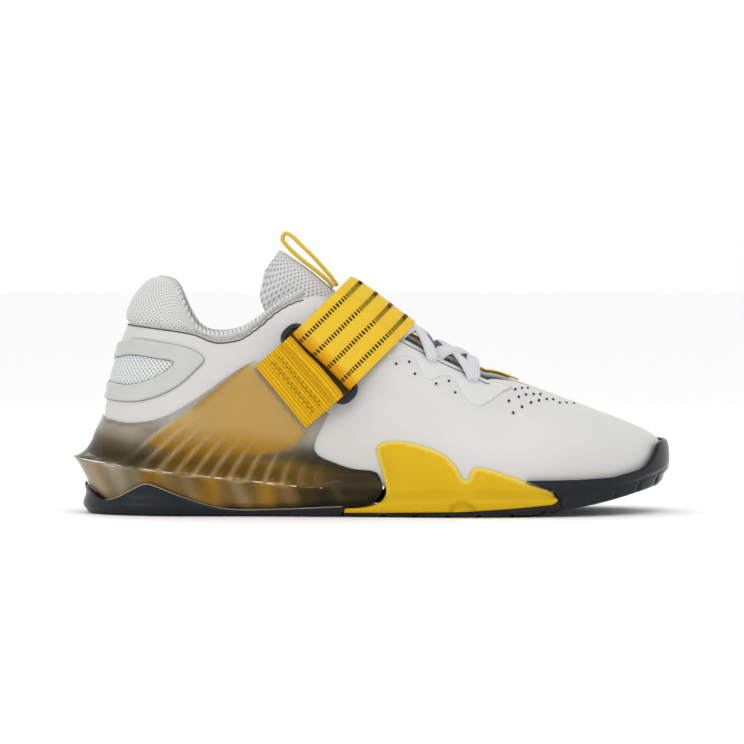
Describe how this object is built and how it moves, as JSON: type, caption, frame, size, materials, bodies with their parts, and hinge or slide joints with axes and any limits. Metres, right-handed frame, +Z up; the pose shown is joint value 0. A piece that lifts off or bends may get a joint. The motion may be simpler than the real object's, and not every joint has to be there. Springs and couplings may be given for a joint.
{
  "type": "weightlifting shoe",
  "caption": "Low weightlifting shoe for the right foot with a raised see-through heel, ball wing, instep strap through a ring, flat laces and toe cap.",
  "frame": {"origin": "middle of the shoe's box, on the floor", "axes": "+X to the toe, +Y to the inner side of the foot, +Z up"},
  "size_m": [0.3038, 0.1124, 0.1427],
  "materials": {
    "upper_leather": "matte",
    "knit": "matte",
    "counter_film": "satin",
    "smoke": "gloss",
    "dark_rubber": "satin",
    "yellow_webbing": "matte",
    "yellow_foam": "satin",
    "dark_gloss": "gloss"
  },
  "bodies": {
    "root": {"upper": "upper_leather", "collar_lining": "knit", "heel_counter_ring": "counter_film", "tongue": "knit", "pull_loop": "yellow_webbing", "insole": "knit", "heel_clip": "smoke", "outsole_heel": "dark_rubber", "forefoot_wing": "yellow_foam", "outsole_forefoot": "dark_rubber", "strap_webbing": "yellow_webbing", "strap_ring": "dark_gloss", "strap_elastic": "yellow_webbing", "laces": "knit", "eyestay_tape": "yellow_webbing"}
  },
  "joints": []
}
